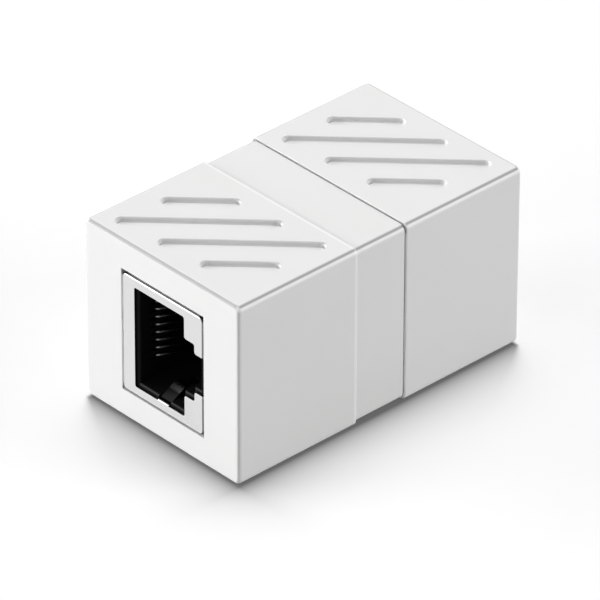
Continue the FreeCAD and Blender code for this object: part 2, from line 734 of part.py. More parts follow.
def board():
    """Board across the middle, with holes for both jacks' tails, pegs and shield tabs."""
    body = new_body("circuit_board", SHELL_BOARD, "coupler_height / 2", "front")
    plate = face_sketch(body)
    reach_x = f"({INNER_HALF} - board_clearance)"
    reach_z = "(coupler_height / 2 - shell_wall - board_clearance)"
    rectangle(plate, f"-{reach_x}", reach_x, f"-{reach_z}", reach_z)
    add(body, plate, "board_sheet")
    fillet(body, "board_corner_round", lambda box: box.XLength < NEAR and box.ZLength < NEAR)
    lowest = f"-contact_pitch * {(CONTACTS - 1) / 2} - {JACK_DROP}"
    rows = (("inner_tails", lowest), ("outer_tails", f"{lowest} + contact_pitch"))
    for tail, start in rows:
        holes = face_sketch(body)
        circle(holes, f"{tail} - {JACK_ASIDE}", start, "tail_hole")
        circle(holes, f"-({tail} - {JACK_ASIDE})", start, "tail_hole")
        pattern(body, [cut(body, holes, "board_sheet")], "Z_Axis", "2 * contact_pitch", CONTACTS // 2)
    fixings = face_sketch(body)
    spare = "tab_hole_clearance"
    reach = f"shield_tab_width / 2 + {spare}"
    for side in ("", "-"):
        peg, tab = f"{side}(peg_across + {JACK_ASIDE})", f"{side}(shield_tab_place + {JACK_ASIDE})"
        for level in ("", "-"):
            circle(fixings, peg, f"{level}peg_upright - {JACK_DROP}", "peg_width + 2 * peg_hole_clearance")
            low = f"{level}({SHIELD_HALF_Z} - sheet - {spare}) - {JACK_DROP}"
            high = f"{level}({SHIELD_HALF_Z} + {spare}) - {JACK_DROP}"
            rectangle(fixings, f"{tab} - ({reach})", f"{tab} + {reach}", low, high)
    cut(body, fixings, "board_sheet")
    return body


parts = [board()]
for end in ENDS:
    parts += [shell(end), shield(end), housing(end), contact_comb(end)]
    parts += [contact(end, index) for index in range(1, CONTACTS + 1)]
doc.recompute()

for item in doc.Objects:
    if {"Invalid", "Error"} & set(item.State):
        raise ValueError(f"{item.Label} failed to build")
for part in parts:
    shape = part.Shape
    if shape.isNull() or not shape.isValid() or len(shape.Solids) != 1:
        raise ValueError(f"{part.Label} is not one valid solid")

os.makedirs("parts", exist_ok=True)
for part in parts:
    part.Shape.exportStep(f"parts/{part.Label}.step")
    print(f"{part.Label}: {part.Shape.Volume:.2f} mm3")
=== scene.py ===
import math

import bpy
import numpy as np
from mathutils import Matrix, Vector


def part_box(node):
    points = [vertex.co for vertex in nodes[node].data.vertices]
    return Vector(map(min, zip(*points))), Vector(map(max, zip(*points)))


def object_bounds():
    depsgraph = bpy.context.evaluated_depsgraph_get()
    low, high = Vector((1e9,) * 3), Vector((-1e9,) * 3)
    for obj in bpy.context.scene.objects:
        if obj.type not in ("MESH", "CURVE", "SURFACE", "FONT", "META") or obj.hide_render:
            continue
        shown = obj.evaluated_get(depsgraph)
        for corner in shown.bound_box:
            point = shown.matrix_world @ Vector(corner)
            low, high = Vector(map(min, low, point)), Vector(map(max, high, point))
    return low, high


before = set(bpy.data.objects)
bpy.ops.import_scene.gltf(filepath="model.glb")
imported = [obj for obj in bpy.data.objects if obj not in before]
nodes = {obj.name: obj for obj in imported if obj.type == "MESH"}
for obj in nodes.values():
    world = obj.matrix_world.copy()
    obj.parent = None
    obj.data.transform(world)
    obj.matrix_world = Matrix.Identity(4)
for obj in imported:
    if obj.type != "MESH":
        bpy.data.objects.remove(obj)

mm = 0.001
cadBox = [list(corner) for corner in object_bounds()]
ends = ("front", "rear")
contactCount = 8
halfWide, faceAt, topAt = (value / mm for value in cadBox[1])  # the case's far corner, in millimetres
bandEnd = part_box("front_shell")[1][1] / mm  # how far the band reaches past the middle, up to the seam
seamGap = 0.12
gripAt = bandEnd + seamGap  # where the grip of either end begins, from the middle
noiseSpread = (0.3, 0.7)  # what most of a noise lies between
print("loaded", len(nodes), "nodes")


# One node with its settings. An input is either a fixed value or the socket that feeds it.
def addNode(tree, kind, inputs=None, **settings):
    node = tree.nodes.new(kind)
    for name, value in settings.items():
        setattr(node, name, value)
    for socket, value in (inputs or {}).items():
        join(tree, value, node.inputs[socket])
    return node


def join(tree, value, socket):
    if isinstance(value, bpy.types.NodeSocket):
        tree.links.new(value, socket)
    else:
        socket.default_value = value


def maths(tree, operation, first, second=0.0, third=0.0, clamp=False):
    inputs = {0: first, 1: second, 2: third}
    return addNode(tree, "ShaderNodeMath", inputs, operation=operation, use_clamp=clamp).outputs[0]


def remap(tree, value, fromLow, fromHigh, toLow=0.0, toHigh=1.0, smooth=False):
    kind = "SMOOTHSTEP" if smooth else "LINEAR"
    limits = {"Value": value, "From Min": fromLow, "From Max": fromHigh, "To Min": toLow, "To Max": toHigh}
    return addNode(tree, "ShaderNodeMapRange", limits, interpolation_type=kind).outputs["Result"]


def mixColour(tree, factor, first, second):
    node = addNode(tree, "ShaderNodeMix", data_type="RGBA")
    for socket, value in (("Factor_Float", factor), ("A_Color", first), ("B_Color", second)):
        join(tree, value, next(one for one in node.inputs if one.identifier == socket))
    return next(one for one in node.outputs if one.identifier == "Result_Color")


# 0 below rise[0], 1 from rise[1] to fall[0], and 0 again above fall[1].
def window(tree, value, rise, fall):
    risen = remap(tree, value, *rise, smooth=True)
    fallen = remap(tree, value, *fall, smooth=True)
    return maths(tree, "SUBTRACT", risen, fallen)


def product(tree, *factors):
    result = factors[0]
    for factor in factors[1:]:
        result = maths(tree, "MULTIPLY", result, factor)
    return result


def vectorMaths(tree, operation, first, second=(0.0, 0.0, 0.0)):
    return addNode(tree, "ShaderNodeVectorMath", {0: first, 1: second}, operation=operation).outputs


def noise(tree, place, scale, detail):
    return addNode(tree, "ShaderNodeTexNoise", {"Vector": place, "Scale": scale, "Detail": detail}).outputs[0]


# Empty shader group with its named input and output sockets, and its two end nodes.
def newGroup(name, inputs, outputs):
    tree = bpy.data.node_groups.new(name, "ShaderNodeTree")
    for label, (kind, value) in inputs.items():
        socket = tree.interface.new_socket(label, in_out="INPUT", socket_type=f"NodeSocket{kind}")
        if value is not None:
            socket.default_value = value
    for label in outputs:
        tree.interface.new_socket(label, in_out="OUTPUT", socket_type="NodeSocketFloat")
    return tree, tree.nodes.new("NodeGroupInput").outputs, tree.nodes.new("NodeGroupOutput").inputs


def useGroup(tree, group, **values):
    node = tree.nodes.new("ShaderNodeGroup")
    node.node_tree = group
    for name, value in values.items():
        join(tree, value, node.inputs[name])
    return node.outputs


grainShape = {
    "pitDetail": 3.0,
    "flowPerMm": 1.3,
    "flowDetail": 4.0,
    "flowShare": 0.6,  # of the gloss, the rest of which follows the pits
    "driftDetail": 2.0,
}


# Spark-eroded mould texture: fine pits, a gloss that varies with them, and a slow drift. Reads millimetres.
def makeGrain(shape):
    inputs = {"Place": ("Vector", None), "PitsPerMm": ("Float", 8.0), "DriftPerMm": ("Float", 0.2)}
    tree, given, made = newGroup("mouldGrain", inputs, ["Height", "Gloss", "Drift"])
    pits = noise(tree, given["Place"], given["PitsPerMm"], shape["pitDetail"])
    flow = noise(tree, given["Place"], shape["flowPerMm"], shape["flowDetail"])
    pitGloss = maths(tree, "MULTIPLY", pits, 1.0 - shape["flowShare"])
    join(tree, pits, made["Height"])
    join(tree, maths(tree, "MULTIPLY_ADD", flow, shape["flowShare"], pitGloss), made["Gloss"])
    join(tree, noise(tree, given["Place"], given["DriftPerMm"], shape["driftDetail"]), made["Drift"])
    return tree


# Where the surface stands and faces. Out is the part of its normal away from the middle of the coupler, Latch
# the part towards the latch's side of its own end, Up the part upwards and Right the part towards +X.
# Sideways and Lengthways are the parts across and along the coupler, either way. Along and Across are how far
# it lies from the middle in millimetres, LatchPlace how far towards the latch's side, and Height how far up.
def makeFacing():
    turns = ["Out", "Latch", "Up", "Right", "Sideways", "Lengthways"]
    places = ["Along", "Across", "LatchPlace", "Height"]
    tree, given, made = newGroup("facing", {"Place": ("Vector", None)}, turns + places)
    normal = addNode(tree, "ShaderNodeTexCoord").outputs["Normal"]
    normal = addNode(tree, "ShaderNodeSeparateXYZ", {0: normal}).outputs
    place = addNode(tree, "ShaderNodeSeparateXYZ", {0: given["Place"]}).outputs
    side = maths(tree, "SIGN", place["Y"])
    join(tree, product(tree, normal["Y"], side), made["Out"])
    join(tree, product(tree, normal["X"], side, -1.0), made["Latch"])
    join(tree, normal["Z"], made["Up"])
    join(tree, normal["X"], made["Right"])
    join(tree, maths(tree, "ABSOLUTE", normal["X"]), made["Sideways"])
    join(tree, maths(tree, "ABSOLUTE", normal["Y"]), made["Lengthways"])
    join(tree, maths(tree, "ABSOLUTE", place["Y"]), made["Along"])
    join(tree, maths(tree, "ABSOLUTE", place["X"]), made["Across"])
    join(tree, product(tree, place["X"], side, -1.0), made["LatchPlace"])
    join(tree, place["Z"], made["Height"])
    return tree


# Where each painted shade and painted highlight of the shell lies. Two pairs are a rise and a fall, one
# pair is one of them alone, and a single value is a limit.
edgeBands = {
    # how far the surface has turned, as a part of its normal
    "longEdge": ((0.56, 0.8), (0.86, 0.985)),
    "lowerEdge": ((0.1, 0.38), (0.5, 0.68)),
    "faceEdge": ((0.15, 0.55), (0.94, 1.0)),
    "uprightEdge": ((0.25, 0.55), (0.68, 0.92)),
    "plain": (0.1, 0.4),
    "level": (0.1, 0.5),
    "outward": 0.02,
    "grooveWall": (0.7, 0.96),
    "grooveRight": (0.0, 0.2),
    # where it lies, in millimetres
    "uprightTop": topAt - 0.6,
    "grooveSide": halfWide - 0.9,
    "grooveFloor": topAt - 0.7,
    "grooveStart": gripAt + 0.3,
    "seam": ((bandEnd - 0.04, bandEnd + 0.02), (gripAt - 0.02, gripAt + 0.06)),
    "seamHeight": (topAt - 1.4, topAt - 1.0),
    "step": ((-gripAt - 0.5, -gripAt - 0.34), (-gripAt - 0.02, -gripAt + 0.02)),
    "lowerCatch": 0.2,  # the painted highlight low on the long edges, as a share of that beside the step
}


# Painted shade and painted highlight over the shell's rounded edges. Each edge is a window on how far the
# surface has turned: painted dark where it has just left the top or the face, and painted light lower down
# the long edges and beside the step. The groove walls that face right and the seam on top are painted dark
# too, for the shade in these recesses.
def makeEdgeShade(bands):
    inputs = {name: ("Float", 0.0) for name in ("LongEdge", "FaceEdge", "UprightEdge", "Groove", "Seam")}
    inputs["Place"] = ("Vector", None)
    tree, given, made = newGroup("edgeShade", inputs, ["Loss", "Catch"])
    facing = useGroup(tree, groups["facing"], Place=given["Place"])
    along = addNode(tree, "ShaderNodeSeparateXYZ", {0: given["Place"]}).outputs["Y"]
    plainAlong = remap(tree, facing["Lengthways"], *bands["plain"], 1.0, 0.0)
    plainAcross = remap(tree, facing["Sideways"], *bands["plain"], 1.0, 0.0)
    outward = maths(tree, "GREATER_THAN", facing["Out"], bands["outward"])
    longEdge = product(tree, window(tree, facing["Up"], *bands["longEdge"]), plainAlong)
    faceEdge = product(tree, window(tree, facing["Up"], *bands["faceEdge"]), plainAcross, outward)

    below = maths(tree, "LESS_THAN", facing["Height"], bands["uprightTop"])
    level = remap(tree, maths(tree, "ABSOLUTE", facing["Up"]), *bands["level"], 1.0, 0.0)
    upright = product(tree, window(tree, facing["Sideways"], *bands["uprightEdge"]), outward, below, level)

    inset = maths(tree, "LESS_THAN", facing["Across"], bands["grooveSide"])
    sunk = maths(tree, "GREATER_THAN", facing["Height"], bands["grooveFloor"])
    turned = remap(tree, facing["Right"], *bands["grooveRight"])
    outer = maths(tree, "GREATER_THAN", facing["Along"], bands["grooveStart"])
    wall = remap(tree, facing["Up"], *bands["grooveWall"], 1.0, 0.0)
    groove = product(tree, wall, inset, sunk, turned, outer)
    seamTop = remap(tree, facing["Height"], *bands["seamHeight"])
    seam = maths(tree, "MULTIPLY", window(tree, along, *bands["seam"]), seamTop)

    masks = {"LongEdge": longEdge, "FaceEdge": faceEdge, "UprightEdge": upright}
    masks.update({"Groove": groove, "Seam": seam})
    loss = 0.0
    for name, mask in masks.items():
        loss = maths(tree, "MULTIPLY_ADD", mask, given[name], loss)
    join(tree, maths(tree, "MINIMUM", loss, 1.0), made["Loss"])
    lowerEdge = window(tree, facing["Up"], *bands["lowerEdge"])
    lowerEdge = product(tree, lowerEdge, plainAlong, bands["lowerCatch"])
    join(tree, maths(tree, "MAXIMUM", lowerEdge, window(tree, along, *bands["step"])), made["Catch"])
    return tree


sheetShape = {
    "lineDetail": 2.0,
    "broadPerMm": 0.35,
    "broadDetail": 3.0,
    "lineShare": 0.5,  # of the gloss, the rest of which follows the broad noise
    "smudge": (0.45, 0.7),
}


# Rolling lines of cold-rolled sheet along its length, with faint handling smudges. Reads millimetres.
def makeRolledSheet(shape):
    inputs = {"Place": ("Vector", None), "LinesPerMm": ("Float", 14.0), "Stretch": ("Float", 0.05)}
    tree, given, made = newGroup("rolledSheet", inputs, ["Height", "Gloss", "Smudge"])
    along = addNode(tree, "ShaderNodeCombineXYZ", {"X": 1.0, "Y": 1.0, "Z": given["Stretch"]}).outputs[0]
    stretched = vectorMaths(tree, "MULTIPLY", given["Place"], along)[0]
    lines = noise(tree, stretched, given["LinesPerMm"], shape["lineDetail"])
    broad = noise(tree, given["Place"], shape["broadPerMm"], shape["broadDetail"])
    broadGloss = maths(tree, "MULTIPLY", broad, 1.0 - shape["lineShare"])
    join(tree, lines, made["Height"])
    join(tree, maths(tree, "MULTIPLY_ADD", lines, shape["lineShare"], broadGloss), made["Gloss"])
    join(tree, remap(tree, broad, *shape["smudge"], smooth=True), made["Smudge"])
    return tree


wearShape = {
    "samples": 6,
    # how well the rounded and the true normal agree, where wear begins and where it is full
    "bent": (0.98, 0.85),
    "gapsPerMm": 2.2,
    "gapDetail": 3.0,
}


# 1 along sharp edges, where a finish wears thin or a sheared edge shows, broken up by noise. Radius is in
# metres.
def makeEdgeWear(shape):
    inputs = {"Place": ("Vector", None), "Radius": ("Float", 0.00012), "Breakup": ("Float", 0.4)}
    tree, given, made = newGroup("edgeWear", inputs, ["Mask"])
    bevel = addNode(tree, "ShaderNodeBevel", {"Radius": given["Radius"]}, samples=shape["samples"])
    trueNormal = addNode(tree, "ShaderNodeNewGeometry").outputs["True Normal"]
    agreed = vectorMaths(tree, "DOT_PRODUCT", bevel.outputs[0], trueNormal)["Value"]
    bent = remap(tree, agreed, *shape["bent"], smooth=True)
    gaps = noise(tree, given["Place"], shape["gapsPerMm"], shape["gapDetail"])
    kept = maths(tree, "SUBTRACT", 1.0, maths(tree, "MULTIPLY", gaps, given["Breakup"]))
    join(tree, maths(tree, "MULTIPLY", bent, kept, clamp=True), made["Mask"])
    return tree


# 0 at Start and 1 at Full, both in millimetres behind the nearer jack face. Reads millimetres.
def makeDepth():
    inputs = {"Place": ("Vector", None), "Start": ("Float", 0.3), "Full": ("Float", 1.5)}
    tree, given, made = newGroup("depthBehindFace", inputs, ["Mask"])
    along = addNode(tree, "ShaderNodeSeparateXYZ", {0: given["Place"]}).outputs["Y"]
    depth = maths(tree, "SUBTRACT", faceAt, maths(tree, "ABSOLUTE", along))
    join(tree, remap(tree, depth, given["Start"], given["Full"], smooth=True), made["Mask"])
    return tree


groups = {
    "grain": makeGrain(grainShape),
    "rolled": makeRolledSheet(sheetShape),
    "wear": makeEdgeWear(wearShape),
    "depth": makeDepth(),
    "facing": makeFacing(),
}
groups["edgeShade"] = makeEdgeShade(edgeBands)
print("shader groups made:", ", ".join(groups))


# New material with its shader, and the piece's own place in millimetres.
def startMaterial(name, preview):
    material = bpy.data.materials.new(name)
    material.use_nodes = True
    material.diffuse_color = preview
    tree = material.node_tree
    tree.nodes.clear()
    shader = addNode(tree, "ShaderNodeBsdfPrincipled")
    addNode(tree, "ShaderNodeOutputMaterial", {"Surface": shader.outputs[0]})
    place = addNode(tree, "ShaderNodeTexCoord").outputs["Object"]
    place = addNode(tree, "ShaderNodeVectorMath", {0: place, "Scale": 1 / mm}, operation="SCALE").outputs[0]
    return material, tree, shader, place


# Fixed values and links for the shader's sockets, whose names are written without their spaces.
def feed(tree, shader, **values):
    for name, value in values.items():
        join(tree, value, next(one for one in shader.inputs if one.name.replace(" ", "") == name))


def bump(tree, height, strength, distance):
    inputs = {"Height": height, "Strength": strength, "Distance": distance}
    return addNode(tree, "ShaderNodeBump", inputs).outputs[0]


shellFinish = {
    "pale": (0.862, 0.862, 0.862, 1.0),
    "warm": (0.852, 0.850, 0.848, 1.0),
    # painted shade and painted highlight over the edges, groove walls, seam and step, and how strongly each is
    # painted dark
    "lost": (0.0, 0.0, 0.0, 1.0),
    "caught": (0.955, 0.955, 0.955, 1.0),
    "edgeLoss": {"LongEdge": 0.56, "FaceEdge": 0.46, "UprightEdge": 0.22, "Groove": 0.22, "Seam": 0.6},
    "roughness": (0.36, 0.5),
    "grain": {"PitsPerMm": 9.0, "DriftPerMm": 0.12},
    "drift": (0.35, 0.65),
    "bumpStrength": 0.12,
    "bumpDistance": 0.004 * mm,
    "refraction": 1.46,
}


def makeShellMaterial(look):
    material, tree, shader, place = startMaterial("whiteMoulding", look["pale"])
    grain = useGroup(tree, groups["grain"], Place=place, **look["grain"])
    edge = useGroup(tree, groups["edgeShade"], Place=place, **look["edgeLoss"])
    colour = mixColour(tree, remap(tree, grain["Drift"], *look["drift"]), look["pale"], look["warm"])
    # painted highlight beside the step and low on the long edges, then painted shade over edges, groove walls
    # and seam
    colour = mixColour(tree, edge["Catch"], colour, look["caught"])
    colour = mixColour(tree, edge["Loss"], colour, look["lost"])
    roughness = remap(tree, grain["Gloss"], *noiseSpread, *look["roughness"])
    normal = bump(tree, grain["Height"], look["bumpStrength"], look["bumpDistance"])
    feed(tree, shader, BaseColor=colour, Roughness=roughness, Normal=normal, IOR=look["refraction"])
    return material


shieldFinish = {
    "metal": (0.755, 0.755, 0.755, 1.0),
    "smudge": (0.71, 0.71, 0.71, 1.0),
    "smudgeShare": 0.5,
    "edge": (0.93, 0.93, 0.93, 1.0),
    "roughness": (0.16, 0.26),
    "lines": {"LinesPerMm": 16.0, "Stretch": 0.06},
    "wear": {"Radius": 0.1 * mm, "Breakup": 0.5},
    "bumpStrength": 0.08,
    "bumpDistance": 0.003 * mm,
    # painted reflections on the folds round the face, and the turns of the sheet over which each sets in: the
    # one below and the one beside the latch are painted dark for the dark gap they face, the one away from the
    # latch is painted light, and the upper one is painted darker over its top
    "lowerFold": (0.05, 0.05, 0.05, 1.0),
    "lowerTurn": (-0.1, -0.5),
    "latchFold": (0.2, 0.2, 0.2, 1.0),
    "latchTurn": (0.1, 0.5),
    "plainFold": (0.9, 0.9, 0.9, 1.0),
    "plainTurn": (-0.1, -0.4),
    "upperFold": (0.38, 0.38, 0.38, 1.0),
    "upperTurn": ((0.3, 0.65), (0.95, 1.0)),
    # painted shade on the sheet behind its face, as on the fingers inside the jack, and a painted highlight
    # over their crests
    "inner": (0.025, 0.025, 0.025, 1.0),
    "innerDepth": {"Start": 0.12, "Full": 0.3},
    "crest": (0.2, 0.2, 0.2, 1.0),
    "crestDepth": {"Start": 1.7, "Full": 2.1},
    # the painted shade of a dark notch at each corner, where the folds end, and the depth of the outer
    # skin, in millimetres
    "cornerRadius": 1.0,
    "cornerSoft": 0.12,
    "skin": 0.1,
}


# Two masks on the shield: 1 outside the rounded corners of its face, where the folds end and a dark notch of
# shade is painted, and 1 on its skin.
def shieldMasks(tree, facing, look):
    low, high = (np.array(corner)[[0, 2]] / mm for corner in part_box("front_shield"))
    middle, half = (low + high) / 2, (high - low) / 2 - look["cornerRadius"]
    excess = []
    for value, centre, reach in zip((facing["LatchPlace"], facing["Height"]), middle, half):
        away = maths(tree, "ABSOLUTE", maths(tree, "SUBTRACT", value, float(centre)))
        excess.append(maths(tree, "MAXIMUM", maths(tree, "SUBTRACT", away, float(reach)), 0.0))
    squares = [product(tree, value, value) for value in excess]
    away = maths(tree, "SQRT", maths(tree, "ADD", *squares))
    cornerShade = remap(tree, away, look["cornerRadius"], look["cornerRadius"] + look["cornerSoft"])
    skin = maths(tree, "GREATER_THAN", maths(tree, "MAXIMUM", *excess), look["cornerRadius"] - look["skin"])
    return cornerShade, skin


def makeShieldMaterial(look):
    material, tree, shader, place = startMaterial("platedSheet", look["metal"])
    sheet = useGroup(tree, groups["rolled"], Place=place, **look["lines"])
    wear = useGroup(tree, groups["wear"], Place=place, **look["wear"])["Mask"]
    inside = useGroup(tree, groups["depth"], Place=place, **look["innerDepth"])["Mask"]
    crest = useGroup(tree, groups["depth"], Place=place, **look["crestDepth"])["Mask"]
    facing = useGroup(tree, groups["facing"], Place=place)
    smudge = maths(tree, "MULTIPLY", sheet["Smudge"], look["smudgeShare"])
    colour = mixColour(tree, smudge, look["metal"], look["smudge"])
    colour = mixColour(tree, wear, colour, look["edge"])
    # painted reflections on the folds round the face
    colour = mixColour(tree, remap(tree, facing["Latch"], *look["plainTurn"]), colour, look["plainFold"])
    colour = mixColour(tree, window(tree, facing["Up"], *look["upperTurn"]), colour, look["upperFold"])
    colour = mixColour(tree, remap(tree, facing["Latch"], *look["latchTurn"]), colour, look["latchFold"])
    colour = mixColour(tree, remap(tree, facing["Up"], *look["lowerTurn"]), colour, look["lowerFold"])
    # painted shade of the dark notches at the face's corners
    cornerShade, skin = shieldMasks(tree, facing, look)
    # painted shade behind the face and in the corner notches, with a painted highlight over the fingers' crests
    inside = maths(tree, "MULTIPLY", inside, maths(tree, "SUBTRACT", 1.0, skin))
    paintedShadeMask = maths(tree, "MAXIMUM", inside, cornerShade)
    colour = mixColour(tree, paintedShadeMask, colour, mixColour(tree, crest, look["inner"], look["crest"]))
    roughness = remap(tree, sheet["Gloss"], *noiseSpread, *look["roughness"])
    normal = bump(tree, sheet["Height"], look["bumpStrength"], look["bumpDistance"])
    feed(tree, shader, BaseColor=colour, Roughness=roughness, Normal=normal, Metallic=1.0)
    return material


housingFinish = {
    "black": (0.0035, 0.0035, 0.0036, 1.0),
    "dust": (0.005, 0.005, 0.0052, 1.0),
    "edge": (0.02, 0.02, 0.0205, 1.0),
    "roughness": (0.55, 0.7),
    "grain": {"PitsPerMm": 12.0, "DriftPerMm": 0.3},
    "drift": (0.4, 0.7),
    "wear": {"Radius": 0.12 * mm, "Breakup": 0.6},
    "wearShare": 0.7,
    "bumpStrength": 0.2,
    "bumpDistance": 0.005 * mm,
    # the painted highlight on the rims that face both up and out, and the product of the two turns
    # over which it sets in
    "rim": (0.045, 0.045, 0.046, 1.0),
    "rimTurn": (0.3, 0.46),
    "refraction": 1.15,
}
combFinish = dict(housingFinish, black=(0.004, 0.004, 0.0042, 1.0), dust=(0.006, 0.006, 0.0062, 1.0))


def makeBlackMaterial(name, look):
    material, tree, shader, place = startMaterial(name, look["black"])
    grain = useGroup(tree, groups["grain"], Place=place, **look["grain"])
    wear = useGroup(tree, groups["wear"], Place=place, **look["wear"])["Mask"]
    colour = mixColour(tree, remap(tree, grain["Drift"], *look["drift"]), look["black"], look["dust"])
    colour = mixColour(tree, maths(tree, "MULTIPLY", wear, look["wearShare"]), colour, look["edge"])
    facing = useGroup(tree, groups["facing"], Place=place)
    # painted highlight on the rims that face up and out
    upAndOut = maths(tree, "MULTIPLY", facing["Up"], facing["Out"])
    colour = mixColour(tree, remap(tree, upAndOut, *look["rimTurn"], smooth=True), colour, look["rim"])
    roughness = remap(tree, grain["Gloss"], *noiseSpread, *look["roughness"])
    normal = bump(tree, grain["Height"], look["bumpStrength"], look["bumpDistance"])
    feed(tree, shader, BaseColor=colour, Roughness=roughness, Normal=normal, IOR=look["refraction"])
    return material


contactFinish = {
    # grey plating, painted darker for the shade inside the jack
    "metal": (0.16, 0.159, 0.156, 1.0),
    "drawn": (0.13, 0.129, 0.127, 1.0),
    "deep": (0.02, 0.02, 0.02, 1.0),  # painted shade: the wire is painted darker towards its free end, deep in the jack
    "deepening": {"Start": 3.1, "Full": 4.5},
    "roughness": (0.2, 0.34),
    "lines": {"LinesPerMm": 22.0, "Stretch": 1.0},
    "bumpStrength": 0.08,
    "bumpDistance": 0.002 * mm,
}


def makeContactMaterial(look):
    material, tree, shader, place = startMaterial("platedSpring", look["metal"])
    sheet = useGroup(tree, groups["rolled"], Place=place, **look["lines"])
    deep = useGroup(tree, groups["depth"], Place=place, **look["deepening"])["Mask"]
    colour = mixColour(tree, sheet["Smudge"], look["metal"], look["drawn"])
    # painted shade deep in the jack
    colour = mixColour(tree, deep, colour, look["deep"])
    roughness = remap(tree, sheet["Gloss"], *noiseSpread, *look["roughness"])
    normal = bump(tree, sheet["Height"], look["bumpStrength"], look["bumpDistance"])
    feed(tree, shader, BaseColor=colour, Roughness=roughness, Normal=normal, Metallic=1.0)
    return material


boardFinish = {
    "mask": (0.012, 0.11, 0.045, 1.0),
    "track": (0.02, 0.17, 0.07, 1.0),
    "roughness": (0.25, 0.38),
    "weave": 2.4,  # glass cloth threads per millimetre
    "laneHalf": 0.5,  # from the middle of a gap to the middle of a track, in millimetres
    "trackEdge": (0.2, 0.26),
    "wanderPerMm": 0.5,  # how fast the tracks wander
    "wanderDetail": 0.0,
    "clothHeight": 0.2,  # as a share of a track's
    "coat": 0.3,
    "bumpStrength": 0.2,
    "bumpDistance": 0.01 * mm,
}


# Green solder mask over upright tracks, with the glass cloth showing faintly through.
def makeBoardMaterial(look):
    material, tree, shader, place = startMaterial("boardLaminate", look["mask"])
    parts = addNode(tree, "ShaderNodeSeparateXYZ", {0: place}).outputs
    warp = maths(tree, "SINE", maths(tree, "MULTIPLY", parts["X"], look["weave"] * 2 * math.pi))
    weft = maths(tree, "SINE", maths(tree, "MULTIPLY", parts["Z"], look["weave"] * 2 * math.pi))
    cloth = maths(tree, "MULTIPLY", warp, weft)
    wander = noise(tree, place, look["wanderPerMm"], look["wanderDetail"])
    lane = maths(tree, "PINGPONG", maths(tree, "ADD", parts["X"], wander), look["laneHalf"])
    track = remap(tree, lane, *look["trackEdge"], smooth=True)
    colour = mixColour(tree, track, look["mask"], look["track"])
    roughness = remap(tree, cloth, -1.0, 1.0, *look["roughness"])
    height = maths(tree, "MULTIPLY_ADD", cloth, look["clothHeight"], track)
    normal = bump(tree, height, look["bumpStrength"], look["bumpDistance"])
    feed(tree, shader, BaseColor=colour, Roughness=roughness, Normal=normal, CoatWeight=look["coat"])
    return material


def dress(names, material):
    for name in names:
        for slot in nodes[name].material_slots:
            slot.material = material


dress([f"{end}_shell" for end in ends], makeShellMaterial(shellFinish))
dress([f"{end}_shield" for end in ends], makeShieldMaterial(shieldFinish))
dress([f"{end}_jack_housing" for end in ends], makeBlackMaterial("blackMoulding", housingFinish))
dress([f"{end}_contact_insert" for end in ends], makeBlackMaterial("combMoulding", combFinish))
contacts = [f"{end}_contact_{index}" for end in ends for index in range(1, contactCount + 1)]
dress(contacts, makeContactMaterial(contactFinish))
dress(["circuit_board"], makeBoardMaterial(boardFinish))
print("finishes placed on", len(nodes), "nodes")


# Mesh of a surface given as three arrays over one grid of two parameters, with one face for each cell.
def gridMesh(name, x, y, z):
    rows, columns = x.shape
    index = np.arange(rows * columns).reshape(rows, columns)
    faces = np.stack([index[:-1, :-1], index[1:, :-1], index[1:, 1:], index[:-1, 1:]], axis=-1).reshape(-1, 4)
    mesh = bpy.data.meshes.new(name)
    mesh.vertices.add(x.size)
    mesh.vertices.foreach_set("co", np.stack([x, y, z], axis=-1).ravel())
    mesh.loops.add(faces.size)
    mesh.loops.foreach_set("vertex_index", faces.ravel())
    mesh.polygons.add(len(faces))
    mesh.polygons.foreach_set("loop_start", np.arange(0, faces.size, 4))
    mesh.polygons.foreach_set("use_smooth", np.ones(len(faces), bool))
    mesh.update()
    mesh.validate()
    piece = bpy.data.objects.new(name, mesh)
    bpy.context.scene.collection.objects.link(piece)
    return piece


floorLook = {
    "reach": 3.0,  # from the middle to an edge, in metres
    "rows": 9,
    "colour": (0.5, 0.5, 0.5, 1.0),
    "shadow": (0.0, 0.0, 0.0, 1.0),
    "bounce": (0.3, 0.3, 0.3, 1.0),  # the duller sheet that lights the object from below
    "lift": 0.53,  # the glow that brings the sheet to white for the camera
    "mirrorLift": 0.72,  # the same for mirrors
    "roughness": 0.9,
    # each painted soft shadow round the base: how far it reaches, in millimetres, and the share of the light
    # that it takes at a wall
    "contactShades": ((3.1, 0.62), (0.9, 0.2)),
    # how the shadows fade past the left end of the face and the rear end of the right side: the distance
    # inside that end over the distance out from the wall, where there is no shadow and where there is all of it
    "frontFade": (0.4, 2.0),
    "sideFade": (0.35, 1.6),
    # the least that counts as a distance out, in millimetres, so that they also fade under the base's corners
    "cornerFade": 0.45,
}


